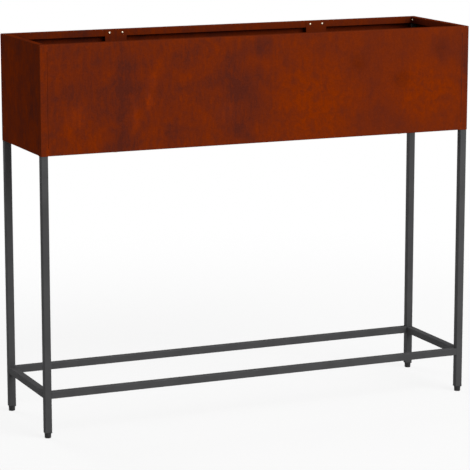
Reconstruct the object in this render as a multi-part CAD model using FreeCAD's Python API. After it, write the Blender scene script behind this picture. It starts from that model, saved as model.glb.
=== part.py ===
import FreeCAD, Part
import math
import os
from FreeCAD import Vector

# Elevated planter: a folded sheet-steel trough on a slim frame of square tube with screw-in feet.
# Millimetres, +X along the length, +Y to the back, +Z up; the origin is on the floor under the middle.

# Overall sizes, measured over the sheet of the trough
planter_length = 1200.0
planter_depth = 310.0
planter_height = 998.0
box_height = 277.0

# Folded sheet of the trough
sheet = 1.0
bend_inside = 1.0
lip_height = 17.0
seam_gap = 0.3
fold_relief = 2.0
rim_tab_length = 20.0
tray_upstand = 12.0
tray_clearance = 0.4

# Drain holes in the floor tray
drain_radius = 5.0
drain_pitch = 360.0
drain_count = 3

# Flat braces between the floor and the rim lip
brace_width = 60.0
brace_spread = 580.0
brace_screw_spacing = 36.0
brace_foot_depth = 15.0

# Frame of square tube
tube = 18.0
tube_wall = 1.5
stretcher_top = 120.0
leg_headroom = 1.0
spigot_length = 30.0
spigot_clearance = 0.2

# Plug and foot of each leg
foot_height = 13.0
foot_radius = 8.8
plug_flange = 2.0
plug_length = 45.0
plug_clearance = 0.1
stud_radius = 4.0
stud_length = 28.0
stud_clearance = 0.3

# Screws: the small ones are in the rim lip, the large ones in the frame
lip_screw_radius = 1.5
lip_screw_length = 8.0
lip_head_radius = 2.9
lip_head_height = 1.7
lip_nut_flats = 5.5
lip_nut_height = 2.4
frame_screw_radius = 2.5
frame_head_flats = 8.0
frame_head_height = 1.8
screw_clearance = 0.25
thread_clearance = 0.05
thread_reach = 8.0
thread_runout = 1.0
insert_flats = 7.0
panel_screw_spacing = 800.0

# Planes that the pieces share
half_length = planter_length / 2
half_depth = planter_depth / 2
box_bottom = planter_height - box_height
bend_outside = bend_inside + sheet
leg_outer_x = half_length - sheet
leg_outer_y = half_depth - sheet
leg_inner_x = leg_outer_x - tube
leg_inner_y = leg_outer_y - tube
leg_axis_x = leg_outer_x - tube / 2
leg_axis_y = leg_outer_y - tube / 2
leg_bottom = foot_height + plug_flange
lip_bottom = planter_height - lip_height
lip_middle = planter_height - lip_height / 2
lip_flat_top = planter_height - bend_outside
leg_top = lip_bottom - leg_headroom
bearer_bottom = box_bottom + sheet
bearer_top = bearer_bottom + tube
floor_top = bearer_top + sheet
flange_bottom = floor_top + fold_relief
flange_top = lip_bottom - fold_relief
tube_bore = tube - 2 * tube_wall
insert_length = thread_reach + thread_runout
thread_radius = frame_screw_radius + thread_clearance

hexagon_sides = 6
turned_sides = 12
near = 0.01

along_x = Vector(1, 0, 0)
along_y = Vector(0, 1, 0)
along_z = Vector(0, 0, 1)
sides = {"left": -1, "right": 1}
faces = {"front": -1, "back": 1}


def block(low, high):
    """Solid between two opposite corners."""
    size = high - low
    return Part.makeBox(size.x, size.y, size.z, low)


def edges_along(shape, direction):
    """Straight edges of a shape that run along a direction."""
    return [e for e in shape.Edges if abs(e.tangentAt(e.FirstParameter).dot(direction)) > 1 - near]


def edges_at_height(shape, height):
    """Level edges of a shape at a height."""
    return [e for e in shape.Edges if e.BoundBox.ZLength < near and abs(e.CenterOfMass.z - height) < near]


def mirrored(shape, side_x, side_y):
    """A piece modelled at the right and the back, brought to the corner that the two signs name."""
    if side_x < 0:
        shape = shape.mirror(Vector(), along_x)
    if side_y < 0:
        shape = shape.mirror(Vector(), along_y)
    return shape


def bent_line(points, radius):
    """Edges of straight runs joined by tangent arcs."""
    edges = []
    start = points[0]
    for before, corner, after in zip(points, points[1:], points[2:]):
        into = (corner - before).normalize()
        out = (after - corner).normalize()
        half_turn = into.getAngle(out) / 2
        reach = radius * math.tan(half_turn)
        crest = (out - into).normalize() * (radius / math.cos(half_turn) - radius)
        arc_start = corner - into * reach
        arc_end = corner + out * reach
        edges.append(Part.LineSegment(start, arc_start).toShape())
        edges.append(Part.Arc(arc_start, corner + crest, arc_end).toShape())
        start = arc_end
    edges.append(Part.LineSegment(start, points[-1]).toShape())
    return edges


def inner_line(points, normal):
    """Points of the same line moved by the sheet's thickness to the left of its way, seen against normal."""
    ways = [(b - a).normalize() for a, b in zip(points, points[1:])]
    lefts = [normal.cross(way) for way in ways]
    moved = [points[0] + lefts[0] * sheet]
    for corner, left, next_left in zip(points[1:], lefts, lefts[1:]):
        moved.append(corner + (left + next_left) * sheet)
    moved.append(points[-1] + lefts[-1] * sheet)
    return moved


def folded(points, normal, low, high):
    """Sheet folded along a line of square corners on its outer side, run from low to high along normal."""
    inner = inner_line(points, normal)
    outline = bent_line(points, bend_outside) + bent_line(inner, bend_inside)
    outline.append(Part.LineSegment(points[0], inner[0]).toShape())
    outline.append(Part.LineSegment(points[-1], inner[-1]).toShape())
    face = Part.Face(Part.Wire(Part.__sortEdges__(outline)))
    face.translate(normal * low)
    return face.extrude(normal * (high - low))


def bar(point, axis, flats, length, count):
    """Bar with a number of equal flat sides, from a point along an axis."""
    right = Vector(axis.z, axis.x, axis.y)
    up = axis.cross(right)
    corner = flats / 2 / math.cos(math.pi / count)
    angles = [2 * math.pi * k / count for k in range(count + 1)]
    ring = [point + right * corner * math.cos(a) + up * corner * math.sin(a) for a in angles]
    return Part.Face(Part.makePolygon(ring)).extrude(axis * length)


def hexagon(point, axis, flats, length):
    """Hexagonal bar."""
    return bar(point, axis, flats, length, hexagon_sides)


def pin(point, axis, radius, length):
    """Screw shank, or the space for one; six flat sides keep the many small ones light."""
    return hexagon(point, axis, 2 * radius, length)


def stud(point, radius, length):
    """Upright stud of a foot, or the bore for one; twelve flat sides keep it light."""
    return bar(point, along_z, 2 * radius, length, turned_sides)


def square_tube(low, high, axis):
    """Hollow square tube along an axis, with outside corners rounded by the wall's own thickness."""
    outer = block(low, high)
    outer = outer.makeFillet(tube_wall, edges_along(outer, axis))
    inset = (Vector(1, 1, 1) - axis) * tube_wall
    return outer.cut(block(low + inset, high - inset))


def lip_screw(seat, axis):
    """Small pan-head screw of the rim lip, from the seat of its head along an axis."""
    head = bar(seat, axis * -1, 2 * lip_head_radius, lip_head_height, turned_sides)
    return head.fuse(pin(seat, axis, lip_screw_radius, lip_screw_length))


def lip_nut(seat, axis):
    """Hexagon nut on a small screw."""
    bore = pin(seat, axis, lip_screw_radius + thread_clearance, lip_nut_height)
    return hexagon(seat, axis, lip_nut_flats, lip_nut_height).cut(bore)


def frame_screw(seat, axis, grip):
    """Hexagon-head screw that passes through the grip and reaches into a thread."""
    head = hexagon(seat, axis * -1, frame_head_flats, frame_head_height)
    return head.fuse(pin(seat, axis, frame_screw_radius, grip + thread_reach))


def screw_hole(seat, axis, radius, depth):
    """Clearance hole for a screw."""
    return pin(seat, axis, radius + screw_clearance, depth)


def threaded_insert(seat, axis):
    """Hexagonal threaded insert, flush with the tube face that it is set in."""
    bore = pin(seat, axis, thread_radius, insert_length)
    return hexagon(seat, axis, insert_flats, insert_length).cut(bore)


def insert_hole(seat, axis):
    """Hexagonal hole through one tube wall for an insert."""
    return hexagon(seat, axis, insert_flats, tube_wall)


def row(count, pitch):
    """Evenly spaced places about the middle."""
    return [(k - (count - 1) / 2) * pitch for k in range(count)]


def pair(spacing):
    """Two places about the middle."""
    return row(2, spacing)


# Places of the screws, each the seat on the tube or lip face that the screw goes into


def corner_seat():
    """Seat on the right back leg's inner face, for the screw of the back panel's end flange."""
    return Vector(leg_inner_x, leg_axis_y, (flange_bottom + flange_top) / 2)


def brace_foot_seat():
    """Seat on top of the back bearer, for the screw of the right back brace's foot."""
    return Vector(brace_spread / 2, leg_axis_y, bearer_top)


def long_panel_seat():
    """Seat under the back bearer, for the right screw of the back panel's bottom flange."""
    return Vector(panel_screw_spacing / 2, leg_axis_y, bearer_bottom)


def end_panel_seat():
    """Seat under the right bearer, for the screw of the right end panel's bottom flange."""
    return Vector(leg_axis_x, 0, bearer_bottom)


def brace_lip_seats():
    """Seats on the back lip's inner face, for the screws of the right back brace."""
    middle = brace_spread / 2
    return [Vector(middle + step, leg_inner_y, lip_middle) for step in pair(brace_screw_spacing)]


def rim_corner_seat():
    """Seat on the right lip's inner face, for the screw of the back panel's rim tab."""
    return Vector(leg_inner_x, leg_inner_y - rim_tab_length / 2, lip_middle)


def stretcher_screw_seat():
    """Seat under the back stretcher, for the screw into its right spigot."""
    return Vector(leg_inner_x - spigot_length / 2, leg_axis_y, stretcher_top - tube)


def bearer_screw_seat():
    """Seat on the back bearer's inner face, for the screw into its right spigot."""
    return Vector(leg_inner_x - spigot_length / 2, leg_inner_y, bearer_top - tube / 2)


# Frame


def leg(side_x, side_y):
    """Leg tube that stands in the corner of the trough, with a hole for its insert."""
    low = Vector(leg_inner_x, leg_inner_y, leg_bottom)
    high = Vector(leg_outer_x, leg_outer_y, leg_top)
    post = square_tube(low, high, along_z)
    post = post.cut(insert_hole(corner_seat(), along_x))
    return mirrored(post, side_x, side_y)


def stretcher_long(side_y):
    """Lower tube along the length, with a screw hole underneath at each end."""
    low = Vector(-leg_inner_x, leg_inner_y, stretcher_top - tube)
    high = Vector(leg_inner_x, leg_outer_y, stretcher_top)
    rail = square_tube(low, high, along_x)
    hole = screw_hole(stretcher_screw_seat(), along_z, frame_screw_radius, tube_wall)
    for side_x in sides.values():
        rail = rail.cut(mirrored(hole, side_x, 1))
    return mirrored(rail, 1, side_y)


def stretcher_short(side_x):
    """Lower tube across the depth, welded between two legs."""
    low = Vector(leg_inner_x, -leg_inner_y, stretcher_top - tube)
    high = Vector(leg_outer_x, leg_inner_y, stretcher_top)
    return mirrored(square_tube(low, high, along_y), side_x, 1)


def bearer_long(side_y):
    """Upper tube along the length, with insert holes above and below and a screw hole at each end."""
    low = Vector(-leg_inner_x, leg_inner_y, bearer_bottom)
    high = Vector(leg_inner_x, leg_outer_y, bearer_top)
    rail = square_tube(low, high, along_x)
    holes = [
        screw_hole(bearer_screw_seat(), along_y, frame_screw_radius, tube_wall),
        insert_hole(long_panel_seat(), along_z),
        insert_hole(brace_foot_seat(), along_z * -1),
    ]
    for side_x in sides.values():
        rail = rail.cut([mirrored(hole, side_x, 1) for hole in holes])
    return mirrored(rail, 1, side_y)


def bearer_short(side_x):
    """Upper tube across the depth, welded between two legs, with an insert hole underneath."""
    low = Vector(leg_inner_x, -leg_inner_y, bearer_bottom)
    high = Vector(leg_outer_x, leg_inner_y, bearer_top)
    rail = square_tube(low, high, along_y).cut(insert_hole(end_panel_seat(), along_z))
    return mirrored(rail, side_x, 1)


def spigot(height, screw_seat, screw_axis):
    """Block welded to the right back leg, over which a long tube's end slips, with its threaded hole."""
    half = tube_bore / 2 - spigot_clearance
    middle = Vector(leg_inner_x, leg_axis_y, height)
    core = block(middle - Vector(spigot_length, half, half), middle + Vector(0, half, half))
    depth = tube_wall + insert_length
    return core.cut(pin(screw_seat, screw_axis, thread_radius, depth))


def leg_plug(side_x, side_y):
    """Square plug in the bottom of a leg, with a flange under the tube and a threaded bore for the foot."""
    half = tube_bore / 2 - plug_clearance
    low = Vector(leg_axis_x - half, leg_axis_y - half, leg_bottom)
    body = block(low, low + Vector(2 * half, 2 * half, plug_length))
    body = body.makeChamfer(tube_wall, edges_at_height(body, leg_bottom + plug_length))
    flange_low = Vector(leg_inner_x, leg_inner_y, foot_height)
    flange = block(flange_low, flange_low + Vector(tube, tube, plug_flange))
    flange = flange.makeChamfer(tube_wall / 2, edges_along(flange, along_z))
    bore_foot = Vector(leg_axis_x, leg_axis_y, foot_height)
    bore = stud(bore_foot, stud_radius + stud_clearance, plug_flange + plug_length)
    return mirrored(body.fuse(flange).cut(bore).removeSplitter(), side_x, side_y)


def foot(side_x, side_y):
    """Round foot in one with its stud."""
    base = Vector(leg_axis_x, leg_axis_y, 0)
    disc = Part.makeCylinder(foot_radius, foot_height, base)
    shaft = stud(base + along_z * foot_height, stud_radius, stud_length)
    return mirrored(disc.fuse(shaft), side_x, side_y)


# Trough


def back_panel():
    """Back wall with its rim return, lip, bottom flange, end flanges on the legs and rim tabs."""
    wall_line = [
        Vector(0, leg_inner_y, lip_bottom),
        Vector(0, leg_inner_y, planter_height),
        Vector(0, half_depth, planter_height),
        Vector(0, half_depth, box_bottom),
        Vector(0, leg_inner_y, box_bottom),
    ]
    panel = folded(wall_line, along_x * -1, -leg_inner_x, leg_inner_x)
    flange_line = [
        Vector(leg_inner_x, leg_inner_y + sheet, 0),
        Vector(leg_inner_x, half_depth, 0),
        Vector(-leg_inner_x, half_depth, 0),
        Vector(-leg_inner_x, leg_inner_y + sheet, 0),
    ]
    flanges = folded(flange_line, along_z, flange_bottom, flange_top)
    tab_top = lip_flat_top - fold_relief
    for side_x in sides.values():
        slot = block(
            Vector(leg_inner_x - bend_outside, leg_outer_y, flange_bottom - fold_relief / 2),
            Vector(leg_inner_x, half_depth, flange_top + fold_relief / 2),
        )
        lip_end = block(
            Vector(leg_inner_x - bend_outside, leg_inner_y, lip_bottom),
            Vector(leg_inner_x, leg_inner_y + sheet, tab_top),
        )
        panel = panel.cut(mirrored(slot.fuse(lip_end), side_x, 1))
        tab_line = [
            Vector(leg_inner_x, leg_inner_y - rim_tab_length, 0),
            Vector(leg_inner_x, leg_inner_y + sheet, 0),
            Vector(leg_inner_x - 2 * bend_outside, leg_inner_y + sheet, 0),
        ]
        tab = folded(tab_line, along_z, lip_bottom, tab_top)
        panel = panel.fuse(mirrored(tab, side_x, 1))
    return panel.fuse(flanges).removeSplitter()


def long_panel(side_y):
    """Front or back panel with its screw holes."""
    panel = back_panel()
    holes = [
        screw_hole(long_panel_seat(), along_z * -1, frame_screw_radius, sheet),
        screw_hole(corner_seat(), along_x * -1, frame_screw_radius, sheet),
        screw_hole(rim_corner_seat(), along_x * -1, lip_screw_radius, sheet),
    ]
    holes += [screw_hole(seat, along_y, lip_screw_radius, sheet) for seat in brace_lip_seats()]
    for side_x in sides.values():
        panel = panel.cut([mirrored(hole, side_x, 1) for hole in holes])
    return mirrored(panel, 1, side_y)


def corner_cap():
    """Right end wall with the strips that wrap round both corners and the closed corners of the rim."""
    edge_x = leg_inner_x + seam_gap
    outer = block(Vector(edge_x, -half_depth, box_bottom), Vector(half_length, half_depth, planter_height))
    rounded = [e for e in outer.Edges if e.CenterOfMass.x > edge_x and e.CenterOfMass.z > box_bottom]
    outer = outer.makeFillet(bend_outside, rounded)
    inner = block(
        Vector(edge_x - sheet, -leg_outer_y, box_bottom - sheet),
        Vector(leg_outer_x, leg_outer_y, planter_height - sheet),
    )
    folds = [e for e in edges_along(inner, along_z) if e.CenterOfMass.x > edge_x]
    return outer.cut(inner.makeFillet(bend_inside, folds))


def end_panel(side_x):
    """End panel: the wrapped wall, with a lip and a bottom flange between the corners."""
    reach_y = leg_inner_y - seam_gap
    fold_line = [
        Vector(leg_inner_x, 0, box_bottom),
        Vector(half_length, 0, box_bottom),
        Vector(half_length, 0, planter_height),
        Vector(leg_inner_x, 0, planter_height),
        Vector(leg_inner_x, 0, lip_bottom),
    ]
    fold = folded(fold_line, along_y * -1, -reach_y, reach_y)
    middle = block(
        Vector(leg_inner_x, -reach_y, box_bottom),
        Vector(half_length, reach_y, planter_height),
    )
    panel = corner_cap().cut(middle).fuse(fold).removeSplitter()
    panel = panel.cut(screw_hole(end_panel_seat(), along_z * -1, frame_screw_radius, sheet))
    for side_y in faces.values():
        hole = screw_hole(rim_corner_seat(), along_x, lip_screw_radius, sheet)
        panel = panel.cut(mirrored(hole, 1, side_y))
    return mirrored(panel, side_x, 1)


def floor_tray():
    """Floor with four upstands, notched round the legs, with drain holes and the brace screw holes."""
    reach_x = leg_outer_x - tray_clearance
    reach_y = leg_outer_y - tray_clearance
    notch_x = leg_inner_x - sheet - tray_clearance
    notch_y = leg_inner_y - tray_clearance
    upstand_top = bearer_top + tray_upstand
    long_line = [
        Vector(0, -reach_y, upstand_top),
        Vector(0, -reach_y, bearer_top),
        Vector(0, reach_y, bearer_top),
        Vector(0, reach_y, upstand_top),
    ]
    short_line = [
        Vector(reach_x, 0, upstand_top),
        Vector(reach_x, 0, bearer_top),
        Vector(-reach_x, 0, bearer_top),
        Vector(-reach_x, 0, upstand_top),
    ]
    tray = folded(long_line, along_x, -notch_x, notch_x)
    tray = tray.fuse(folded(short_line, along_y, -notch_y, notch_y)).removeSplitter()
    for x in row(drain_count, drain_pitch):
        tray = tray.cut(Part.makeCylinder(drain_radius, sheet, Vector(x, 0, bearer_top)))
    for side_x in sides.values():
        for side_y in faces.values():
            hole = screw_hole(brace_foot_seat(), along_z, frame_screw_radius, sheet)
            tray = tray.cut(mirrored(hole, side_x, side_y))
    return tray


def brace(side_x, side_y):
    """Flat brace that stands on the floor at the lip's inner face, its foot turned out over the bearer."""
    face_y = leg_inner_y - sheet
    line = [
        Vector(0, face_y, lip_flat_top),
        Vector(0, face_y, floor_top),
        Vector(0, leg_inner_y + brace_foot_depth, floor_top),
    ]
    middle = brace_spread / 2
    strap = folded(line, along_x, middle - brace_width / 2, middle + brace_width / 2)
    for seat in brace_lip_seats():
        strap = strap.cut(screw_hole(seat, along_y * -1, lip_screw_radius, sheet))
    strap = strap.cut(screw_hole(brace_foot_seat(), along_z, frame_screw_radius, 2 * sheet))
    return mirrored(strap, side_x, side_y)


# Groups of small parts, modelled at the right back corner and repeated at the others


def at_each_corner(solids):
    """The given solids in all four corners, as one group."""
    corners = [(side_x, side_y) for side_x in sides.values() for side_y in faces.values()]
    copies = [mirrored(solid, side_x, side_y) for solid in solids for side_x, side_y in corners]
    return Part.makeCompound(copies)


def rail_spigots():
    """Spigots of the stretchers and of the bearers."""
    low = spigot(stretcher_top - tube / 2, stretcher_screw_seat(), along_z)
    high = spigot(bearer_top - tube / 2, bearer_screw_seat(), along_y)
    return at_each_corner([low, high])


def spigot_screws():
    """Screws that lock the long tubes on their spigots."""
    low = frame_screw(stretcher_screw_seat(), along_z, tube_wall)
    high = frame_screw(bearer_screw_seat(), along_y, tube_wall)
    return at_each_corner([low, high])


def leg_inserts():
    """Inserts in the legs."""
    return at_each_corner([threaded_insert(corner_seat(), along_x)])


def corner_screws():
    """Screws through the long panels' end flanges into the legs."""
    return at_each_corner([frame_screw(corner_seat() - along_x * sheet, along_x, sheet)])


def brace_foot_inserts():
    """Inserts in the tops of the long bearers."""
    return at_each_corner([threaded_insert(brace_foot_seat(), along_z * -1)])


def brace_foot_screws():
    """Screws through the brace feet and the floor into the bearers."""
    grip = 2 * sheet
    return at_each_corner([frame_screw(brace_foot_seat() + along_z * grip, along_z * -1, grip)])


def under_each_bearer(long_solid, end_solid):
    """One solid twice under each long bearer, and one under each short bearer, as one group."""
    ends = [mirrored(end_solid, side_x, 1) for side_x in sides.values()]
    return Part.makeCompound(at_each_corner([long_solid]).Solids + ends)


def panel_inserts():
    """Inserts in the undersides of the bearers."""
    return under_each_bearer(
        threaded_insert(long_panel_seat(), along_z),
        threaded_insert(end_panel_seat(), along_z),
    )


def panel_screws():
    """Screws through the panels' bottom flanges into the bearers."""
    return under_each_bearer(
        frame_screw(long_panel_seat() - along_z * sheet, along_z, sheet),
        frame_screw(end_panel_seat() - along_z * sheet, along_z, sheet),
    )


def brace_screws():
    """Screws through the braces and the long lips."""
    return at_each_corner([lip_screw(seat - along_y * sheet, along_y) for seat in brace_lip_seats()])


def brace_nuts():
    """Nuts behind the long lips."""
    return at_each_corner([lip_nut(seat + along_y * sheet, along_y) for seat in brace_lip_seats()])


def rim_corner_screws():
    """Screws through the rim tabs and the end lips."""
    return at_each_corner([lip_screw(rim_corner_seat() - along_x * sheet, along_x)])


def rim_corner_nuts():
    """Nuts behind the end lips."""
    return at_each_corner([lip_nut(rim_corner_seat() + along_x * sheet, along_x)])


def pieces():
    """Every piece of the planter by its name."""
    made = {
        "floor_tray": floor_tray(),
        "rail_spigots": rail_spigots(),
        "spigot_screws": spigot_screws(),
        "leg_inserts": leg_inserts(),
        "corner_screws": corner_screws(),
        "brace_foot_inserts": brace_foot_inserts(),
        "brace_foot_screws": brace_foot_screws(),
        "panel_inserts": panel_inserts(),
        "panel_screws": panel_screws(),
        "brace_screws": brace_screws(),
        "brace_nuts": brace_nuts(),
        "rim_corner_screws": rim_corner_screws(),
        "rim_corner_nuts": rim_corner_nuts(),
    }
    for face, side_y in faces.items():
        made[face + "_panel"] = long_panel(side_y)
        made[face + "_stretcher"] = stretcher_long(side_y)
        made[face + "_bearer"] = bearer_long(side_y)
    for end, side_x in sides.items():
        made[end + "_end_panel"] = end_panel(side_x)
        made[end + "_stretcher"] = stretcher_short(side_x)
        made[end + "_bearer"] = bearer_short(side_x)
    for face, side_y in faces.items():
        for end, side_x in sides.items():
            corner = face + "_" + end
            made[corner + "_leg"] = leg(side_x, side_y)
            made[corner + "_leg_plug"] = leg_plug(side_x, side_y)
            made[corner + "_foot"] = foot(side_x, side_y)
            made[corner + "_brace"] = brace(side_x, side_y)
    return made


os.makedirs("parts", exist_ok=True)
for name, shape in pieces().items():
    shape.exportStep("parts/" + name + ".step")
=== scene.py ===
"""Looks of the elevated planter: a rusted steel trough on a powder-coated tube frame with screw-in feet.

Everything is in metres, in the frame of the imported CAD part: +X along the length, +Y to the back, +Z up.
Sizes that a maker would put on a drawing are in millimetres, and their names end in _mm.
"""

import logging
import math
from dataclasses import dataclass, field
from enum import Enum
from typing import Any, NamedTuple

import bmesh
import bpy
from mathutils import Matrix, Vector


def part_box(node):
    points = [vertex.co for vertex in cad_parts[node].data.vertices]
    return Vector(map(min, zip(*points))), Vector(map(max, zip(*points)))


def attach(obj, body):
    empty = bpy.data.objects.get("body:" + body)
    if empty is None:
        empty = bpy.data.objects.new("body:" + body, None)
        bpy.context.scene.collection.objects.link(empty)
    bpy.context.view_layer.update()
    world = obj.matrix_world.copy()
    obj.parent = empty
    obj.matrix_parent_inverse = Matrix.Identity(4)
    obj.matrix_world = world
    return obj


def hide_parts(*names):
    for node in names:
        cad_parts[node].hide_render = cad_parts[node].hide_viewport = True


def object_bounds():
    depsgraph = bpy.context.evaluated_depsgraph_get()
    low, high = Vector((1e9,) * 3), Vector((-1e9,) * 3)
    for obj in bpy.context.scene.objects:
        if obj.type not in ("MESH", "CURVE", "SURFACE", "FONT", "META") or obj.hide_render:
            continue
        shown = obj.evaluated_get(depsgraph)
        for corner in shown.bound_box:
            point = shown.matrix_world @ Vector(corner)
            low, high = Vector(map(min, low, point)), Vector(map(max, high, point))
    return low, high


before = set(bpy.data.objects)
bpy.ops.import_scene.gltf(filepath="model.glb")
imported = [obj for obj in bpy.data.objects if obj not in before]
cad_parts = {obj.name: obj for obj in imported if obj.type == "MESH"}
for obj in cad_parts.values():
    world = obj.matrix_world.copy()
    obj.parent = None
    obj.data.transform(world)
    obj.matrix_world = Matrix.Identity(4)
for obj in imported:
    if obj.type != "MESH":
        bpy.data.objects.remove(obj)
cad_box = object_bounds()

log = logging.getLogger("planter")

MM = 0.001
WHITE = (1.0, 1.0, 1.0, 1.0)
PLANTER_BODY = "planter"
# Edges that turn by more than this stay sharp, and the others are shaded as round.
SHARP_EDGE_DEG = 35.0
# A noise pattern has this mean, and keeps mostly between these limits, which a Map Range node takes as its
# inputs 1 and 2.
NOISE_MEAN = 0.5
NOISE_LIMITS = {1: 0.3, 2: 0.7}

Colour = tuple[float, float, float, float]
Tree = bpy.types.NodeTree
Socket = bpy.types.NodeSocket


class Corner(Enum):
    """The four corners, each with the name that its pieces start with."""

    FRONT_LEFT = "front_left"
    FRONT_RIGHT = "front_right"
    BACK_LEFT = "back_left"
    BACK_RIGHT = "back_right"


class Slot(Enum):
    """Material slots of the record for the fasteners and the plastic; the new pieces here take their
    finishes from the workshop instead.
    """

    FASTENERS = "zinc_fasteners"
    PLASTIC = "black_plastic"


def linear(colour: str) -> Colour:
    """Turns an sRGB hex colour into linear light.

    Args:
        colour: Colour such as "#6d280f".

    Returns:
        Red, green, blue and an alpha of 1.
    """
    parts = [int(colour[k:k + 2], 16) / 255 for k in (1, 3, 5)]
    light = [p / 12.92 if p <= 0.04045 else ((p + 0.055) / 1.055) ** 2.4 for p in parts]
    return light[0], light[1], light[2], 1.0


def per_metre(size_mm: float) -> float:
    """Pattern scale, in repeats to the metre, of a feature of that size."""
    return 1 / (size_mm * MM)


def add_node(
    tree: Tree,
    kind: str,
    inputs: dict[str | int, Any] | None = None,
    output: str | int = 0,
    **settings: Any,
) -> Socket:
    """Adds a shader node, sets its properties and fills or links its inputs.

    Some inputs have no name of their own and go by number. A Map Range node has its value at 0, the limits
    that the value comes between at 1 and 2, and those that it goes to at 3 and 4. A Mix node of colours has
    its share at 0, its colours at 6 and 7, and its result at output 2.

    Args:
        tree: Node tree of a material or of the world.
        kind: The node's type without "ShaderNode" in front.
        inputs: Value or output socket for each input, by its name or number.
        output: Name or number of the output that is wanted.
        **settings: Properties of the node.

    Returns:
        That output, which leads to the node as well.
    """
    node = tree.nodes.new("ShaderNode" + kind)
    for name, value in settings.items():
        setattr(node, name, value)
    for key, value in (inputs or {}).items():
        if isinstance(value, Socket):
            tree.links.new(value, node.inputs[key])
        else:
            node.inputs[key].default_value = value
    return node.outputs[output]


@dataclass(frozen=True)
class Finish:
    """A surface finish, made into one Blender material."""

    name: str
    # Roughness where the pattern of the shine is low and where it is high.
    roughness: tuple[float, float]
    # Strength of the bumps and their height.
    bump: float
    relief_mm: float
    specular: float = 0.5
    metallic: float = 0.0
    # How squarely a surface faces its nearest axis, as a cosine: on a flat face, and well round a bend.
    facing: tuple[float, float] = (0.97, 0.75)

    def start(self) -> tuple[bpy.types.Material, Tree, Socket]:
        """Makes the empty material.

        Returns:
            The material, its node tree and the place on the surface in metres.
        """
        material = bpy.data.materials.new(self.name)
        material.use_nodes = True
        return material, material.node_tree, add_node(material.node_tree, "TexCoord", output="Object")

    def end(self, tree: Tree, colour: Socket, shine: Socket, height: Socket) -> None:
        """Joins the finished patterns to the surface shader, and sets what is the same all over.

        Args:
            tree: Node tree of the material.
            colour: Base colour.
            shine: Pattern that the roughness follows.
            height: Pattern of the bumps.
        """
        low, high = self.roughness
        roughness = add_node(tree, "MapRange", {0: shine, **NOISE_LIMITS, 3: low, 4: high})
        relief = {"Height": height, "Strength": self.bump, "Distance": self.relief_mm * MM}
        shader = tree.nodes["Principled BSDF"]
        tree.links.new(colour, shader.inputs["Base Color"])
        tree.links.new(roughness, shader.inputs["Roughness"])
        tree.links.new(add_node(tree, "Bump", relief), shader.inputs["Normal"])
        shader.inputs["Specular IOR Level"].default_value = self.specular
        shader.inputs["Metallic"].default_value = self.metallic

    def bends(self, tree: Tree) -> Socket:
        """Marks rounded edges: 0 on faces that lie along the frame's axes, 1 half-way round a bend.

        Args:
            tree: Node tree of the material.

        Returns:
            The mark's value.
        """
        normal = add_node(tree, "TexCoord", output="Normal")
        sizes = add_node(tree, "VectorMath", {0: normal}, operation="ABSOLUTE")
        axes = add_node(tree, "SeparateXYZ", {0: sizes}).node.outputs
        pair = add_node(tree, "Math", {0: axes[0], 1: axes[1]}, operation="MAXIMUM")
        most = add_node(tree, "Math", {0: pair, 1: axes[2]}, operation="MAXIMUM")
        flat, bent = self.facing
        return add_node(tree, "MapRange", {0: most, 1: flat, 2: bent})


@dataclass(frozen=True)
class Stain:
    """A soft cloud on a long wall, strongest in its middle."""

    x_mm: float
    z_mm: float
    width_mm: float
    height_mm: float
    strength: float


class RustPatterns(NamedTuple):
    """Patterns that the layers of rust share, and the wandering coordinates that the stains go by."""

    patches: Socket
    mottle: Socket
    runs: Socket
    adrift: Socket


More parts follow.
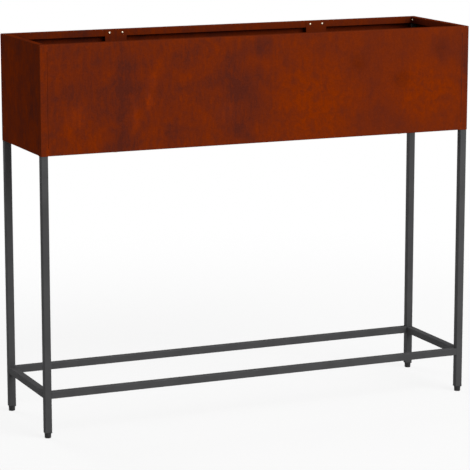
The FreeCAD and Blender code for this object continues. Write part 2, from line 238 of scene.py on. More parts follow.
@dataclass(frozen=True)
class WeatheringSteel(Finish):
    """Weathering steel sheet, folded bare and left to rust outdoors.

    The oxide skin is porous and quite matte. Damp has left it cloudy: plum-brown where the rust is old and
    dense, orange where it is fresh, with faint upright runs where rain has drained down it.
    """

    name: str = "weathering_steel_rusted_sheet"
    roughness: tuple[float, float] = (0.94, 0.82)
    bump: float = 0.3
    relief_mm: float = 0.25
    # Porous oxide scatters all of its light, and mirrors none even at a low angle.
    specular: float = 0.0
    old_hex: str = "#582418"
    body_hex: str = "#6e280f"
    fresh_hex: str = "#802c03"
    fold_hex: str = "#6a2c16"
    # Most of the sheet has this age, between 0 for old rust and 1 for fresh.
    body_age: float = 0.5
    bloom_mm: float = 240.0
    patch_mm: float = 70.0
    mottle_mm: float = 16.0
    run_width_mm: float = 9.0
    run_length_mm: float = 60.0
    fleck_width_mm: float = 20.0
    fleck_length_mm: float = 44.0
    scale_mm: float = 9.0
    # The grit of the rust is about 0.3 mm, too fine to show, so it is drawn ten times as coarse.
    grit_mm: float = 3.0
    grit_value: tuple[float, float] = (0.84, 1.16)
    # How far each pattern makes the rust older or fresher.
    bloom_share: float = 0.08
    patch_share: float = 0.33
    mottle_share: float = 0.20
    run_share: float = 0.20
    fleck_share: float = 0.08
    # How far from its mean a noise pattern has its full effect: far off makes it soft, and near by crisp.
    soft: float = 0.3
    crisp: float = 0.06
    # The left half has weathered more unevenly than the right.
    uneven_x_mm: tuple[float, float] = (-200.0, 300.0)
    unevenness: tuple[float, float] = (1.15, 0.6)
    # Faces that look along the length, the narrow ends, are shifted this much towards the plum end of the
    # ramp.
    end_age: float = -0.12
    # The sheet's inner faces lie this deep under the outer ones, past the round of the bends.
    inner_skin_mm: tuple[float, float] = (0.65, 0.95)
    # Inside, painted shade darkens the rust, more so further down and into the corners.
    inner_rim_mm: tuple[float, float] = (8.0, 24.0)
    inner_painted_shade: tuple[float, float] = (0.10, 0.20)
    inner_corner_mm: tuple[float, float] = (15.0, 110.0)
    corner_painted_shade: float = 0.28
    # Painted light beside the upright seams of the long walls makes them paler, against the shade in the
    # seam's gap and bends.
    seam_light_reach_mm: float = 3.0
    seam_light_value: float = 0.25
    # Stains lie on the long walls. Their rims wander, and the grain of the rust breaks them up.
    wall_y_mm: float = 155.0
    stain_depth_mm: float = 90.0
    wander_mm: float = 40.0
    wander_repeats: float = 1.5
    stain_grain: tuple[float, float] = (0.4, 1.6)
    # Where the rust is older, below 0, or fresher.
    age_stains: tuple[Stain, ...] = (
        Stain(-450, 860, 420, 600, -0.14),
        Stain(-515, 880, 110, 90, -0.30),
        Stain(-485, 790, 130, 130, 0.20),
        Stain(-430, 812, 60, 80, -0.26),
        Stain(-376, 860, 90, 1000, -0.42),
        Stain(-60, 861, 230, 420, -0.30),
        Stain(2, 966, 90, 90, -0.40),
        Stain(-72, 872, 90, 110, -0.26),
        Stain(-60, 765, 60, 80, -0.34),
        Stain(150, 815, 380, 420, 0.36),
        Stain(515, 938, 90, 100, -0.14),
        Stain(550, 930, 190, 170, -0.22),
        Stain(602, 880, 70, 280, -0.55),
        Stain(480, 830, 330, 260, 0.42),
        Stain(351, 760, 240, 110, -0.16),
    )
    # Where the rust is darker with damp, or paler, below 0, where it has dried to powder.
    damp_stains: tuple[Stain, ...] = (
        Stain(-505, 815, 90, 110, -0.12),
        Stain(-349, 815, 28, 170, -0.16),
        Stain(-316, 850, 24, 150, -0.20),
        Stain(-300, 897, 40, 60, -0.14),
        Stain(-100, 805, 110, 80, -0.12),
        Stain(272, 917, 85, 80, 0.16),
        Stain(400, 869, 85, 80, 0.18),
        Stain(515, 938, 70, 80, 0.10),
    )

    def build(self) -> bpy.types.Material:
        """Makes the material.

        Returns:
            The material.
        """
        material, tree, place = self.start()
        patterns = self.patterns(tree, place)
        tones = add_node(tree, "ValToRGB", {0: self.age(tree, place, patterns)})
        ramp = tones.node.color_ramp.elements
        ramp[0].color = linear(self.old_hex)
        ramp[1].color = linear(self.fresh_hex)
        ramp.new(self.body_age).color = linear(self.body_hex)
        inputs = {0: self.bends(tree), 6: tones, 7: linear(self.fold_hex)}
        rust = add_node(tree, "Mix", inputs, output=2, data_type="RGBA")
        gritty = {"Vector": place, "Scale": per_metre(self.grit_mm), "Detail": 5.0, "Roughness": 0.65}
        grit = add_node(tree, "TexNoise", gritty)
        dim, bright = self.grit_value
        value = add_node(tree, "MapRange", {0: grit, **NOISE_LIMITS, 3: dim, 4: bright})
        # Damp stains darken or pale the rust, and the inner faces take painted shade.
        damp_and_shade = self.stained(tree, patterns.adrift, patterns.runs, self.damp_stains)
        for shade in (damp_and_shade, self.painted_inner_shade(tree, place)):
            value = add_node(tree, "Math", {0: value, 1: shade}, operation="SUBTRACT")
        # Painted light pales the long walls beside the seams.
        value = add_node(tree, "Math", {0: value, 1: self.painted_seam_light(tree, place)}, operation="ADD")
        colour = add_node(tree, "HueSaturation", {"Value": value, "Color": rust})
        scaly = {"Vector": place, "Scale": per_metre(self.scale_mm), "Detail": 2.0}
        scale = add_node(tree, "TexNoise", scaly)
        height = add_node(tree, "Math", {0: grit, 1: scale}, operation="ADD")
        self.end(tree, colour, patterns.patches, height)
        return material

    def patterns(self, tree: Tree, place: Socket) -> RustPatterns:
        """Makes the patterns that the layers share.

        Args:
            tree: Node tree of the material.
            place: Coordinates in metres.

        Returns:
            The patterns.
        """
        wispy = {"Vector": place, "Scale": per_metre(self.patch_mm), "Detail": 7.0, "Distortion": 0.7}
        patches = add_node(tree, "TexNoise", wispy)
        wispy = {"Vector": place, "Scale": per_metre(self.mottle_mm), "Detail": 5.0, "Distortion": 0.8}
        mottle = add_node(tree, "TexNoise", wispy | {"Roughness": 0.6})
        slim, tall = per_metre(self.run_width_mm), per_metre(self.run_length_mm)
        drawn = add_node(tree, "VectorMath", {0: place, 1: (slim, slim, tall)}, operation="MULTIPLY")
        streaky = {"Vector": drawn, "Scale": 1.0, "Detail": 4.0, "Distortion": 0.6}
        runs = add_node(tree, "TexNoise", streaky)
        reach = self.wander_mm * MM
        swaying = {"Vector": place, "Scale": self.wander_repeats / reach, "Detail": 5.0}
        sway = add_node(tree, "TexNoise", swaying, output="Color")
        # The front and the back have weathered alike, so stains go by the distance from the middle plane.
        along, across, up = add_node(tree, "SeparateXYZ", {0: place}).node.outputs
        out = add_node(tree, "Math", {0: across}, operation="ABSOLUTE")
        both = add_node(tree, "CombineXYZ", {0: along, 1: out, 2: up})
        inputs = {0: sway, 1: (reach,) * 3, 2: both}
        adrift = add_node(tree, "VectorMath", inputs, operation="MULTIPLY_ADD")
        return RustPatterns(patches, mottle, runs, adrift)

    def age(self, tree: Tree, place: Socket, patterns: RustPatterns) -> Socket:
        """How fresh the rust is, from 0 where it is old and dense to 1 where it is orange.

        Args:
            tree: Node tree of the material.
            place: Coordinates in metres.
            patterns: Shared patterns.

        Returns:
            The value.
        """
        slim, tall = per_metre(self.fleck_width_mm), per_metre(self.fleck_length_mm)
        drawn = add_node(tree, "VectorMath", {0: place, 1: (slim, slim, tall)}, operation="MULTIPLY")
        torn = {"Vector": drawn, "Scale": 1.0, "Detail": 6.0, "Roughness": 0.62, "Distortion": 1.4}
        flecks = add_node(tree, "TexNoise", torn)
        layers = (
            (patterns.patches, self.soft, -self.patch_share),
            (patterns.mottle, self.soft, self.mottle_share),
            (patterns.runs, self.soft, self.run_share),
            (flecks, self.crisp, self.fleck_share),
        )
        uneven = 0.0
        for pattern, spread, share in layers:
            inputs = {0: pattern, 1: NOISE_MEAN - spread, 2: NOISE_MEAN + spread, 3: -share, 4: share}
            layer = add_node(tree, "MapRange", inputs)
            uneven = add_node(tree, "Math", {0: uneven, 1: layer}, operation="ADD")
        along = add_node(tree, "SeparateXYZ", {0: place})
        left, right = (x * MM for x in self.uneven_x_mm)
        most, least = self.unevenness
        weather = add_node(tree, "MapRange", {0: along, 1: left, 2: right, 3: most, 4: least})
        slow = {"Vector": place, "Scale": per_metre(self.bloom_mm), "Detail": 2.0}
        bloom = add_node(tree, "TexNoise", slow)
        inputs = {0: bloom, 1: NOISE_MEAN - self.soft, 2: NOISE_MEAN + self.soft}
        inputs |= {3: self.body_age - self.bloom_share, 4: self.body_age + self.bloom_share}
        body = add_node(tree, "MapRange", inputs)
        age = add_node(tree, "Math", {0: uneven, 1: weather, 2: body}, operation="MULTIPLY_ADD")
        facing = add_node(tree, "SeparateXYZ", {0: add_node(tree, "TexCoord", output="Normal")})
        endways = add_node(tree, "Math", {0: facing}, operation="ABSOLUTE")
        age = add_node(tree, "Math", {0: endways, 1: self.end_age, 2: age}, operation="MULTIPLY_ADD")
        stains = self.stained(tree, patterns.adrift, patterns.mottle, self.age_stains)
        return add_node(tree, "Math", {0: age, 1: stains}, operation="ADD")

    def painted_inner_shade(self, tree: Tree, place: Socket) -> Socket:
        """Painted shade that darkens the inner faces, found by how far they lie under the planter's outer
        ones.

        Args:
            tree: Node tree of the material.
            place: Coordinates in metres.

        Returns:
            0 on the outer faces, and the painted shade on the inner ones.
        """
        far_corner = cad_box[1]
        sizes = add_node(tree, "VectorMath", {0: place}, operation="ABSOLUTE")
        depths = add_node(tree, "VectorMath", {0: far_corner, 1: sizes}, operation="SUBTRACT")
        axes = add_node(tree, "SeparateXYZ", {0: depths}).node.outputs
        walls = add_node(tree, "Math", {0: axes[0], 1: axes[1]}, operation="MINIMUM")
        least = add_node(tree, "Math", {0: walls, 1: axes[2]}, operation="MINIMUM")
        skin_from, skin_to = (depth * MM for depth in self.inner_skin_mm)
        inner = add_node(tree, "MapRange", {0: least, 1: skin_from, 2: skin_to})
        # Painted shade: darker further down from the rim, and more so into the corners.
        rim_from, rim_to = (depth * MM for depth in self.inner_rim_mm)
        shallow, deep = self.inner_painted_shade
        inputs = {0: axes[2], 1: rim_from, 2: rim_to, 3: shallow, 4: deep}
        damp_and_shade = add_node(tree, "MapRange", inputs, interpolation_type="SMOOTHSTEP")
        corner = add_node(tree, "Math", {0: axes[0], 1: axes[1]}, operation="MAXIMUM")
        corner_from, corner_to = (depth * MM for depth in self.inner_corner_mm)
        inputs = {0: corner, 1: corner_from, 2: corner_to, 3: self.corner_painted_shade, 4: 0.0}
        corner_shade = add_node(tree, "MapRange", inputs, interpolation_type="SMOOTHSTEP")
        damp_and_shade = add_node(tree, "Math", {0: damp_and_shade, 1: corner_shade}, operation="ADD")
        return add_node(tree, "Math", {0: inner, 1: damp_and_shade}, operation="MULTIPLY")

    def painted_seam_light(self, tree: Tree, place: Socket) -> Socket:
        """How much painted light makes the long walls paler beside the seams, which stand where the
        stretchers end.

        Args:
            tree: Node tree of the material.
            place: Coordinates in metres.

        Returns:
            The paleness, which is 0 away from the seams.
        """
        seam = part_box("front_stretcher")[1].x
        reach = self.seam_light_reach_mm * MM
        sizes = add_node(tree, "VectorMath", {0: place}, operation="ABSOLUTE")
        axes = add_node(tree, "SeparateXYZ", {0: sizes}).node.outputs
        beside = add_node(tree, "Math", {0: axes[0], 1: seam}, operation="SUBTRACT")
        apart = add_node(tree, "Math", {0: beside}, operation="ABSOLUTE")
        inputs = {0: apart, 1: 0.0, 2: reach, 3: self.seam_light_value, 4: 0.0}
        dust_and_seam_light = add_node(tree, "MapRange", inputs, interpolation_type="SMOOTHSTEP")
        inputs = {0: axes[1], 1: self.wall_y_mm * MM - reach}
        outside = add_node(tree, "Math", inputs, operation="GREATER_THAN")
        return add_node(tree, "Math", {0: dust_and_seam_light, 1: outside}, operation="MULTIPLY")

    def stained(self, tree: Tree, adrift: Socket, grain: Socket, stains: tuple[Stain, ...]) -> Socket:
        """Adds up stains, each fading from its middle to a ragged rim.

        Args:
            tree: Node tree of the material.
            adrift: Coordinates in metres, which wander to and fro.
            grain: Pattern that breaks the stains up.
            stains: The stains.

        Returns:
            The sum of their strengths.
        """
        total = 0.0
        # The coordinates wander from 0 to their full reach, so the stains go along by their mean.
        drift = Vector((NOISE_MEAN,) * 3) * self.wander_mm
        for stain in stains:
            half = Vector((stain.width_mm, self.stain_depth_mm, stain.height_mm)) * MM / 2
            middle = (Vector((stain.x_mm, self.wall_y_mm, stain.z_mm)) + drift) * MM
            inputs = {0: adrift, 1: [1 / h for h in half], 2: [-m / h for m, h in zip(middle, half)]}
            offset = add_node(tree, "VectorMath", inputs, operation="MULTIPLY_ADD")
            distance = add_node(tree, "VectorMath", {0: offset}, output="Value", operation="LENGTH")
            inputs = {0: distance, 1: 1.0, 2: 0.0, 3: 0.0, 4: stain.strength}
            cloud = add_node(tree, "MapRange", inputs, interpolation_type="SMOOTHSTEP")
            total = add_node(tree, "Math", {0: total, 1: cloud}, operation="ADD")
        faint, full = self.stain_grain
        broken = add_node(tree, "MapRange", {0: grain, **NOISE_LIMITS, 3: faint, 4: full})
        return add_node(tree, "Math", {0: total, 1: broken}, operation="MULTIPLY")


@dataclass(frozen=True)
class PowderCoat(Finish):
    """Black polyester powder coat, baked on steel tube.

    A dark neutral skin with a fine orange-peel texture that breaks up the shine, a little thinner and
    greyer where it drew back from the tube's rounded edges. That paler edge colour is also a painted
    highlight along the rounded edges.
    """

    name: str = "powder_coated_steel_tube"
    roughness: tuple[float, float] = (0.78, 0.9)
    bump: float = 0.4
    relief_mm: float = 0.08
    # The peel scatters nearly all of the light that a smooth skin would mirror.
    specular: float = 0.1
    coat_hex: str = "#4f4f50"
    cloud_hex: str = "#49494a"
    # Paler on the rounded edges: worn coat, and a painted highlight.
    worn_edge_highlight_hex: str = "#66666a"
    cloud_mm: float = 70.0
    cloud_limits: tuple[float, float] = (0.4, 0.7)
    rub_mm: float = 14.0
    rub_limits: tuple[float, float] = (0.4, 0.65)
    rub_share: tuple[float, float] = (0.1, 0.9)
    # Orange peel is about 0.8 mm across, too fine to show, so it is drawn three times as coarse.
    peel_mm: float = 2.4

    def build(self) -> bpy.types.Material:
        """Makes the material.

        Returns:
            The material.
        """
        material, tree, place = self.start()
        cloudy = {"Vector": place, "Scale": per_metre(self.cloud_mm), "Detail": 3.0}
        clouds = add_node(tree, "TexNoise", cloudy)
        low, high = self.cloud_limits
        share = add_node(tree, "MapRange", {0: clouds, 1: low, 2: high})
        inputs = {0: share, 6: linear(self.coat_hex), 7: linear(self.cloud_hex)}
        coat = add_node(tree, "Mix", inputs, output=2, data_type="RGBA")
        rubbed = {"Vector": place, "Scale": per_metre(self.rub_mm), "Detail": 4.0}
        rub = add_node(tree, "TexNoise", rubbed)
        low, high = self.rub_limits
        least, most = self.rub_share
        uneven = add_node(tree, "MapRange", {0: rub, 1: low, 2: high, 3: least, 4: most})
        # The rounded edges take the paler colour: worn coat, and a painted highlight along them.
        worn_and_highlit = add_node(tree, "Math", {0: self.bends(tree), 1: uneven}, operation="MULTIPLY")
        inputs = {0: worn_and_highlit, 6: coat, 7: linear(self.worn_edge_highlight_hex)}
        colour = add_node(tree, "Mix", inputs, output=2, data_type="RGBA")
        fine = {"Vector": place, "Scale": per_metre(self.peel_mm), "Detail": 1.0}
        peel = add_node(tree, "TexNoise", fine)
        self.end(tree, colour, peel, peel)
        return material


@dataclass(frozen=True)
class ZincPlate(Finish):
    """Bright zinc plating on turned and rolled steel.

    A pale metal with a faint warm bloom from its passivation, polished enough to catch the light as white
    points.
    """

    name: str = "zinc_plated_steel"
    roughness: tuple[float, float] = (0.24, 0.38)
    bump: float = 0.2
    relief_mm: float = 0.01
    metallic: float = 1.0
    bright_hex: str = "#e2d8c4"
    bloom_hex: str = "#cbb994"
    bloom_mm: float = 5.0
    bloom_limits: tuple[float, float] = (0.4, 0.7)
    # Plating grain is a few hundredths of a millimetre, drawn at 0.6 mm so that it shows close up.
    grain_mm: float = 0.6

    def build(self) -> bpy.types.Material:
        """Makes the material.

        Returns:
            The material.
        """
        material, tree, place = self.start()
        cloudy = {"Vector": place, "Scale": per_metre(self.bloom_mm), "Detail": 3.0}
        bloom = add_node(tree, "TexNoise", cloudy)
        low, high = self.bloom_limits
        share = add_node(tree, "MapRange", {0: bloom, 1: low, 2: high})
        inputs = {0: share, 6: linear(self.bright_hex), 7: linear(self.bloom_hex)}
        colour = add_node(tree, "Mix", inputs, output=2, data_type="RGBA")
        fine = {"Vector": place, "Scale": per_metre(self.grain_mm), "Detail": 2.0}
        grain = add_node(tree, "TexNoise", fine)
        self.end(tree, colour, grain, grain)
        return material


@dataclass(frozen=True)
class MouldedNylon(Finish):
    """Black nylon, injection moulded in a spark-eroded tool.

    A deep black with a fine even matt texture and a low soft shine, dusted grey by use.
    """

    name: str = "moulded_black_nylon"
    roughness: tuple[float, float] = (0.55, 0.7)
    bump: float = 0.3
    relief_mm: float = 0.05
    # The matt texture scatters most of the light that a smooth skin would mirror.
    specular: float = 0.2
    body_hex: str = "#2b2b2c"
    dust_hex: str = "#403f3d"
    dust_mm: float = 6.0
    dust_limits: tuple[float, float] = (0.45, 0.75)
    dust_share: float = 0.7
    # Spark texture is about 0.1 mm, drawn at 0.7 mm so that it shows close up.
    texture_mm: float = 0.7

    def build(self) -> bpy.types.Material:
        """Makes the material.

        Returns:
            The material.
        """
        material, tree, place = self.start()
        dusty = {"Vector": place, "Scale": per_metre(self.dust_mm), "Detail": 3.0}
        dust_and_seam_light = add_node(tree, "TexNoise", dusty)
        low, high = self.dust_limits
        share = add_node(tree, "MapRange", {0: dust_and_seam_light, 1: low, 2: high, 3: 0.0, 4: self.dust_share})
        inputs = {0: share, 6: linear(self.body_hex), 7: linear(self.dust_hex)}
        colour = add_node(tree, "Mix", inputs, output=2, data_type="RGBA")
        fine = {"Vector": place, "Scale": per_metre(self.texture_mm), "Detail": 2.0}
        spark = add_node(tree, "TexNoise", fine)
        self.end(tree, colour, spark, spark)
        return material


@dataclass
class Workshop:
    """The four finishes, each made once."""

    steel: bpy.types.Material = field(default_factory=lambda: WeatheringSteel().build())
    coat: bpy.types.Material = field(default_factory=lambda: PowderCoat().build())
    zinc: bpy.types.Material = field(default_factory=lambda: ZincPlate().build())
    nylon: bpy.types.Material = field(default_factory=lambda: MouldedNylon().build())


def dress_node(node: str, material: bpy.types.Material) -> None:
    """Gives a CAD piece its finish.

    Args:
        node: Name of the CAD node.
        material: The finish.
    """
    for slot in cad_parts[node].material_slots:
        slot.material = material
    log.info("%s: %s", node, material.name)


def place_piece(
    name: str, shape: bmesh.types.BMesh, material: bpy.types.Material, body: str
) -> bpy.types.Object:
    """Turns a finished shape into a piece that rides on a body.

    Args:
        name: Name of the piece.
        shape: Its mesh, in the row frame, which is freed here.
        material: Its finish.
        body: CAD body that it moves with.

    Returns:
        The piece.
    """
    bmesh.ops.recalc_face_normals(shape, faces=shape.faces)
    mesh = bpy.data.meshes.new(name)
    shape.to_mesh(mesh)
    shape.free()
    mesh.materials.append(material)
    mesh.shade_smooth()
    mesh.set_sharp_from_angle(angle=math.radians(SHARP_EDGE_DEG))
    piece = bpy.data.objects.new(name, mesh)
    bpy.context.scene.collection.objects.link(piece)
    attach(piece, body)
    log.info("%s: %d faces on %s", name, len(mesh.polygons), body)
    return piece


class Ring(NamedTuple):
    """One ring of a turned piece; the radius of a hexagon is half of its width across flats."""

    radius: float
    height: float
    hexagon: bool = False

    def points(self, steps: int, at: Matrix) -> list[Vector]:
        """Points of the ring.

        Args:
            steps: Number of points, a multiple of 12 where rings are hexagons.
            at: Place of the axis, whose third direction it follows.

        Returns:
            The points, in order round the axis.
        """
        flat = math.pi / 3
        points = []
        for k in range(steps):
            turn = 2 * math.pi * k / steps
            reach = self.radius
            if self.hexagon:
                reach /= math.cos(turn % flat - flat / 2)
            points.append(at @ Vector((reach * math.cos(turn), reach * math.sin(turn), self.height)))
        return points


def skin(shape: bmesh.types.BMesh, rows: list[list[Vector]]) -> None:
    """Closes rows of points, each with the same number in order round an axis, into a solid's skin.

    Args:
        shape: Mesh that the skin is added to.
        rows: The rows, from one end to the other.
    """
    rings = [[shape.verts.new(point) for point in row] for row in rows]
    for first, second in zip(rings, rings[1:]):
        count = len(first)
        for k in range(count):
            m = (k + 1) % count
            shape.faces.new((first[k], first[m], second[m], second[k]))
    shape.faces.new(rings[0])
    shape.faces.new(rings[-1])


def quarter_turns(steps: int) -> list[float]:
    """Angles from 0 to a quarter turn, in so many equal steps."""
    return [math.pi / 2 * k / steps for k in range(steps + 1)]


@dataclass(frozen=True)
class Thread:
    """A rolled screw thread."""

    crest_mm: float
    depth_mm: float
    pitch_mm: float
    steps: int = 24
    # The flanks spread to nearly a whole pitch at the root, and leave a narrow flat at the crest.
    root_pitches: float = 0.46
    crest_pitches: float = 0.06
    # The root lies a little inside the core, and the ridge's ends keep a little height, so that no face
    # collapses.
    sunk_share: float = 0.98
    end_share: float = 0.05

    @property
    def core(self) -> float:
        """Radius of the core in metres."""
        return (self.crest_mm - self.depth_mm) * MM

    def wind(self, shape: bmesh.types.BMesh, low: float, high: float, at: Matrix) -> None:
        """Winds the ridge round its core, fading in and out over one turn.

        Args:
            shape: Mesh that the ridge is added to.
            low: Height where the thread starts.
            high: Height where it ends.
            at: Place of the axis, whose third direction it follows.
        """
        pitch, crest = self.pitch_mm * MM, self.crest_mm * MM
        root = self.core * self.sunk_share
        count = int(self.steps * (high - low - pitch) / pitch)
        rows = []
        for k in range(count + 1):
            turn = 2 * math.pi * k / self.steps
            fade = min(1.0, k / self.steps, (count - k) / self.steps)
            tip = root + (crest - root) * max(fade, self.end_share)
            middle = low + pitch / 2 + pitch * k / self.steps
            flanks = (
                (root, -self.root_pitches),
                (tip, -self.crest_pitches),
                (tip, self.crest_pitches),
                (root, self.root_pitches),
            )
            rows.append([
                at @ Vector((radius * math.cos(turn), radius * math.sin(turn), middle + share * pitch))
                for radius, share in flanks
            ])
        skin(shape, rows)


@dataclass
class Trough:
    """Folded trough: four panels, floor tray and four braces."""

    workshop: Workshop
    sheets: tuple[str, ...] = (
        "front_panel",
        "back_panel",
        "left_end_panel",
        "right_end_panel",
        "floor_tray",
    )

    def dress(self) -> None:
        """Rusts every sheet of the trough."""
        for node in self.sheets:
            dress_node(node, self.workshop.steel)
        for corner in Corner:
            dress_node(corner.value + "_brace", self.workshop.steel)


@dataclass
class TubeFrame:
    """Frame of square tube: legs, two rings of rails, their spigots and the leg plugs."""

    workshop: Workshop
    rings: tuple[str, ...] = ("stretcher", "bearer")
    walls: tuple[str, ...] = ("front", "back", "left", "right")

    def dress(self) -> None:
        """Coats the tubes and finishes the plugs."""
        for corner in Corner:
            dress_node(corner.value + "_leg", self.workshop.coat)
            dress_node(corner.value + "_leg_plug", self.workshop.nylon)
        for ring in self.rings:
            for wall in self.walls:
                dress_node(f"{wall}_{ring}", self.workshop.coat)
        dress_node("rail_spigots", self.workshop.coat)


@dataclass
class InsertsAndNuts:
    """Threaded inserts in the tubes and nuts under the rim."""

    workshop: Workshop
    nodes: tuple[str, ...] = (
        "leg_inserts",
        "brace_foot_inserts",
        "panel_inserts",
        "brace_nuts",
        "rim_corner_nuts",
    )

    def dress(self) -> None:
        """Plates every insert and nut."""
        for node in self.nodes:
            dress_node(node, self.workshop.zinc)


class Seat(NamedTuple):
    """Where a screw of a CAD group sits: the outer face of its head, with the third direction out of it."""

    at: Matrix
    length: float


def solids_of(node: str, weld: float = 0.01 * MM) -> list[list[Vector]]:
    """Points of each separate solid of a CAD group.

    Args:
        node: Name of the CAD node.
        weld: Distance at which two points are one.

    Returns:
        A list of points for each solid.
    """
    shape = bmesh.new()
    shape.from_mesh(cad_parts[node].data)
    bmesh.ops.remove_doubles(shape, verts=shape.verts, dist=weld)
    waiting = dict.fromkeys(shape.verts)
    solids = []
    while waiting:
        found = [next(iter(waiting))]
        del waiting[found[0]]
        for vert in found:
            for edge in vert.link_edges:
                other = edge.other_vert(vert)
                if other in waiting:
                    del waiting[other]
                    found.append(other)
        solids.append([vert.co.copy() for vert in found])
    shape.free()
    return solids


def screw_seats(node: str) -> list[Seat]:
    """Finds the screws of a CAD group: each lies along its longest side, with its head at the wider end.

    Args:
        node: Name of the CAD node.

    Returns:
        The seat of each screw.
    """
    seats = []
    for points in solids_of(node):
        low = Vector(min(p[k] for p in points) for k in range(3))
        high = Vector(max(p[k] for p in points) for k in range(3))
        size, middle = high - low, (low + high) / 2
        axis = max(range(3), key=lambda k: size[k])
        widest = max(points, key=lambda p: sum((p[k] - middle[k]) ** 2 for k in range(3) if k != axis))
        out = Vector((0, 0, 0))
        out[axis] = 1 if widest[axis] > middle[axis] else -1
        top = Matrix.Translation(middle + out * size[axis] / 2)
        turned = out.to_track_quat("Z", "X").to_matrix().to_4x4()
        seats.append(Seat(top @ turned, size[axis]))
    return seats


@dataclass
class ButtonScrews:
    """Small screws through the rim lip, with a domed head and a hexagon socket."""

    workshop: Workshop
    nodes: tuple[str, ...] = ("brace_screws", "rim_corner_screws")
    steps: int = 24
    head_mm: float = 5.8
    head_height_mm: float = 1.7
    brim_mm: float = 0.3
    dome_steps: int = 6
    # The socket has a round mouth, a short lead-in, six flats and the cone that its drill left.
    mouth_mm: float = 2.5
    lead_in_mm: float = 0.1
    socket_mm: float = 2.0
    socket_depth_mm: float = 1.0
    cone_mm: float = 0.6
    cone_depth_mm: float = 1.15
    tip_mm: float = 0.4
    thread: Thread = Thread(crest_mm=1.5, depth_mm=0.3, pitch_mm=0.5)

    def build(self) -> None:
        """Makes every group of these screws where the CAD has it."""
        for node in self.nodes:
            shape = bmesh.new()
            for seat in screw_seats(node):
                self.add_screw(shape, seat)
            piece = place_piece("button_" + node, shape, self.workshop.zinc, PLANTER_BODY)
            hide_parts(node)

    def add_screw(self, shape: bmesh.types.BMesh, seat: Seat) -> None:
        """Adds one screw to the group.

        Args:
            shape: Mesh of the group.
            seat: Where the screw sits.
        """
        core, tip = self.thread.core, self.tip_mm * MM
        head, brim = self.head_mm * MM / 2, self.brim_mm * MM
        under = -self.head_height_mm * MM
        mouth, socket, cone = (width * MM / 2 for width in (self.mouth_mm, self.socket_mm, self.cone_mm))
        rings = [
            Ring(core - tip, -seat.length),
            Ring(core, tip - seat.length),
            Ring(core, under),
            Ring(head, under),
        ]
        for turn in quarter_turns(self.dome_steps):
            radius = mouth + (head - mouth) * math.cos(turn)
            rings.append(Ring(radius, (under + brim) * (1 - math.sin(turn))))
        rings += [
            Ring(socket, -self.lead_in_mm * MM, hexagon=True),
            Ring(socket, -self.socket_depth_mm * MM, hexagon=True),
            Ring(cone, -self.cone_depth_mm * MM),
        ]
        skin(shape, [ring.points(self.steps, seat.at) for ring in rings])
        self.thread.wind(shape, tip - seat.length, under, seat.at)


@dataclass
class HexScrews:
    """Frame screws with a low hexagon head."""

    workshop: Workshop
    nodes: tuple[str, ...] = ("spigot_screws", "corner_screws", "brace_foot_screws", "panel_screws")
    steps: int = 24
    head_flats_mm: float = 8.0
    head_height_mm: float = 1.8
    chamfer_mm: float = 0.4
    shank_mm: float = 5.0
    tip_mm: float = 0.6

    def build(self) -> None:
        """Makes every group of these screws where the CAD has it."""
        for node in self.nodes:
            shape = bmesh.new()
            for seat in screw_seats(node):
                self.add_screw(shape, seat)
            piece = place_piece("hex_" + node, shape, self.workshop.zinc, PLANTER_BODY)
            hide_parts(node)

    def add_screw(self, shape: bmesh.types.BMesh, seat: Seat) -> None:
        """Adds one screw to the group.

        Args:
            shape: Mesh of the group.
            seat: Where the screw sits.
        """
        flat, shank = self.head_flats_mm * MM / 2, self.shank_mm * MM / 2
        under, chamfer, tip = -self.head_height_mm * MM, self.chamfer_mm * MM, self.tip_mm * MM
        rings = [
            Ring(shank - tip, -seat.length),
            Ring(shank, tip - seat.length),
            Ring(shank, under),
            Ring(flat, under, hexagon=True),
            Ring(flat, -chamfer, hexagon=True),
            Ring(flat - chamfer / 2, 0.0),
        ]
        skin(shape, [ring.points(self.steps, seat.at) for ring in rings])


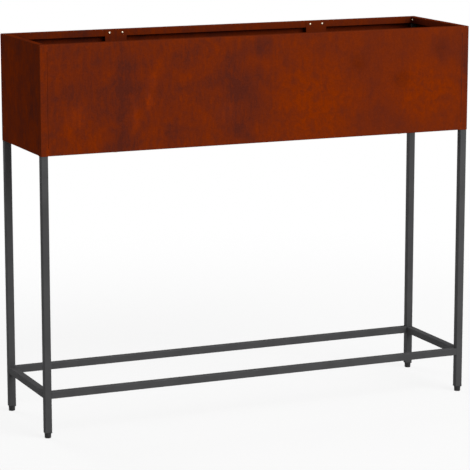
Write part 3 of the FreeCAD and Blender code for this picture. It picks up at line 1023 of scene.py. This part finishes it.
@dataclass
class LevellingFoot:
    """One foot: a moulded base on a threaded steel stud, which screws into the leg plug."""

    corner: Corner
    workshop: Workshop
    steps: int = 48
    edge_mm: float = 0.9
    edge_steps: int = 4
    taper_mm: float = 0.6
    moulded_in_mm: float = 4.0
    tip_mm: float = 0.8
    thread: Thread = Thread(crest_mm=4.0, depth_mm=0.65, pitch_mm=1.25)

    @property
    def node(self) -> str:
        """Name of the CAD node and of its body."""
        return self.corner.value + "_foot"

    def build(self) -> None:
        """Makes the base and the stud where the CAD foot is."""
        low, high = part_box(self.node)
        plug_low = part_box(self.corner.value + "_leg_plug")[0].z
        at = Matrix.Translation(((low.x + high.x) / 2, (low.y + high.y) / 2, low.z))
        base = self.build_base((high.x - low.x) / 2, plug_low - low.z, at)
        stud = self.build_stud(plug_low - low.z, high.z - low.z, at)
        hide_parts(self.node)
        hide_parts(self.node)

    def build_base(self, radius: float, height: float, at: Matrix) -> bpy.types.Object:
        """Moulds the base, with rounded edges and a slight taper towards the floor.

        Args:
            radius: Largest radius, at the top.
            height: Height above the floor.
            at: Place of its axis on the floor.

        Returns:
            The base.
        """
        edge = self.edge_mm * MM
        foot = radius - self.taper_mm * MM - edge
        turns = quarter_turns(self.edge_steps)
        inner, shoulder = radius - edge, height - edge
        rings = [Ring(foot + edge * math.sin(t), edge - edge * math.cos(t)) for t in turns]
        rings += [Ring(inner + edge * math.cos(t), shoulder + edge * math.sin(t)) for t in turns]
        shape = bmesh.new()
        skin(shape, [ring.points(self.steps, at) for ring in rings])
        return place_piece(self.node + "_base", shape, self.workshop.nylon, self.node)

    def build_stud(self, low: float, high: float, at: Matrix) -> bpy.types.Object:
        """Makes the stud with its thread.

        Args:
            low: Height where it leaves the base.
            high: Height of its tip.
            at: Place of its axis on the floor.

        Returns:
            The stud.
        """
        core, tip = self.thread.core, self.tip_mm * MM
        buried = low - self.moulded_in_mm * MM
        rings = [Ring(core, buried), Ring(core, high - tip), Ring(core - tip, high)]
        shape = bmesh.new()
        skin(shape, [ring.points(self.thread.steps, at) for ring in rings])
        self.thread.wind(shape, low, high - tip, at)
        return place_piece(self.node + "_stud", shape, self.workshop.zinc, self.node)


@dataclass
class Lamp:
    """One soft studio lamp; the metal shows it as a reflection where it is mirrored."""

    name: str
    place: tuple[float, float, float]
    size: float
    power: float
    aim: tuple[float, float, float] = (0.0, 0.0, 0.6)
    mirrored: bool = True

    def build(self) -> None:
        """Hangs the lamp and points it at the planter."""
        light = bpy.data.lights.new(self.name, "AREA")
        light.shape = "DISK"
        light.size = self.size
        light.energy = self.power
        lamp = bpy.data.objects.new(self.name, light)
        lamp.location = self.place
        lamp.rotation_euler = (Vector(self.aim) - Vector(self.place)).to_track_quat("-Z", "Y").to_euler()
        lamp.visible_camera = False
        lamp.visible_glossy = self.mirrored
        bpy.context.scene.collection.objects.link(lamp)


@dataclass
class Studio:
    """Pale floor, white surroundings, soft lamps and the camera at the photograph's angle."""

    floor_hex: str = "#d6d6d4"
    floor_half: float = 60.0
    # The eye sees this share of the floor near the planter, and it fades to none between these distances.
    floor_body: float = 0.17
    floor_fade: tuple[float, float] = (0.8, 2.6)
    # The surroundings are white to the eye, and light the planter at this strength.
    ambient: float = 0.21
    camera_place: tuple[float, float, float] = (-2.4223, -5.5190, 1.6009)
    camera_turn_deg: float = 23.615
    camera_down_deg: float = 10.790
    focal_px: float = 2312.0
    picture_px: float = 470.0
    sensor_mm: float = 36.0
    lamps: tuple[Lamp, ...] = (
        Lamp("key", place=(2.4, -5.2, 4.1), size=6.0, power=395.0),
        Lamp("back_fill", place=(-1.8, 4.8, 1.7), size=3.0, power=140.0, mirrored=False),
    )

    def build(self) -> None:
        """Sets up the whole studio."""
        bpy.context.scene.view_settings.view_transform = "Standard"
        self.build_surroundings()
        self.build_floor()
        for lamp in self.lamps:
            lamp.build()
        self.build_camera()

    def seen(self, tree: Tree) -> Socket:
        """Marks rays that show the surroundings to the eye: straight, reflected or through a clear piece.

        Args:
            tree: Node tree that the mark is added to.

        Returns:
            1 for such a ray and 0 for one that only lights the scene.
        """
        rays = add_node(tree, "LightPath").node.outputs
        seen = rays["Is Camera Ray"]
        for kind in ("Is Glossy Ray", "Is Transmission Ray"):
            seen = add_node(tree, "Math", {0: seen, 1: rays[kind]}, operation="MAXIMUM")
        return seen

    def build_surroundings(self) -> None:
        """White all round to the eye, and a lower even light on the planter."""
        world = bpy.data.worlds.new("studio_surroundings")
        bpy.context.scene.world = world
        world.use_nodes = True
        tree = world.node_tree
        strength = add_node(tree, "MapRange", {0: self.seen(tree), 3: self.ambient, 4: 1.0})
        shade = tree.nodes["Background"]
        shade.inputs["Color"].default_value = WHITE
        tree.links.new(strength, shade.inputs["Strength"])

    def build_floor(self) -> None:
        """Lays the floor, which isn't part of the planter."""
        half = self.floor_half
        mesh = bpy.data.meshes.new("studio_floor")
        corners = [(-half, -half, 0), (half, -half, 0), (half, half, 0), (-half, half, 0)]
        mesh.from_pydata(corners, [], [(0, 1, 2, 3)])
        mesh.materials.append(self.floor_material())
        floor = bpy.data.objects.new("studio_floor", mesh)
        bpy.context.scene.collection.objects.link(floor)

    def floor_material(self) -> bpy.types.Material:
        """Makes a pale matte floor that takes the shadow, with the white surroundings showing through it.

        Returns:
            The material.
        """
        material = bpy.data.materials.new("pale_studio_floor")
        material.use_nodes = True
        tree = material.node_tree
        tree.nodes.remove(tree.nodes["Principled BSDF"])
        seen = self.seen(tree)
        inputs = {0: seen, 6: linear(self.floor_hex), 7: WHITE}
        colour = add_node(tree, "Mix", inputs, output=2, data_type="RGBA")
        matte = add_node(tree, "BsdfDiffuse", {"Color": colour})
        clear = add_node(tree, "BsdfTransparent")
        place = add_node(tree, "TexCoord", output="Object")
        distance = add_node(tree, "VectorMath", {0: place}, output="Value", operation="LENGTH")
        near, far = self.floor_fade
        inputs = {0: distance, 1: near, 2: far, 3: 1 - self.floor_body, 4: 1.0}
        thinness = add_node(tree, "MapRange", inputs, interpolation_type="SMOOTHSTEP")
        # From below, the floor is clear.
        under = add_node(tree, "NewGeometry", output="Backfacing")
        thinness = add_node(tree, "Math", {0: thinness, 1: under}, operation="MAXIMUM")
        share = add_node(tree, "Math", {0: seen, 1: thinness}, operation="MULTIPLY")
        mixed = add_node(tree, "MixShader", {0: share, 1: matte, 2: clear})
        tree.links.new(mixed, tree.nodes["Material Output"].inputs["Surface"])
        return material

    def build_camera(self) -> None:
        """Camera fitted to the photograph's corners, tilted down a little instead of a large lens shift."""
        data = bpy.data.cameras.new("camera")
        data.sensor_width = self.sensor_mm
        data.lens = self.focal_px * self.sensor_mm / self.picture_px
        camera = bpy.data.objects.new("camera", data)
        camera.location = self.camera_place
        tilt = math.radians(90 - self.camera_down_deg)
        camera.rotation_euler = (tilt, 0.0, -math.radians(self.camera_turn_deg))
        bpy.context.scene.collection.objects.link(camera)
        bpy.context.scene.camera = camera


def main() -> None:
    """Builds and dresses every sub-assembly in order, then the studio."""
    logging.basicConfig(level=logging.INFO, format="%(name)s %(message)s")
    workshop = Workshop()
    Trough(workshop).dress()
    TubeFrame(workshop).dress()
    InsertsAndNuts(workshop).dress()
    ButtonScrews(workshop).build()
    HexScrews(workshop).build()
    for corner in Corner:
        LevellingFoot(corner, workshop).build()
    Studio().build()


if __name__ == "__main__":
    main()
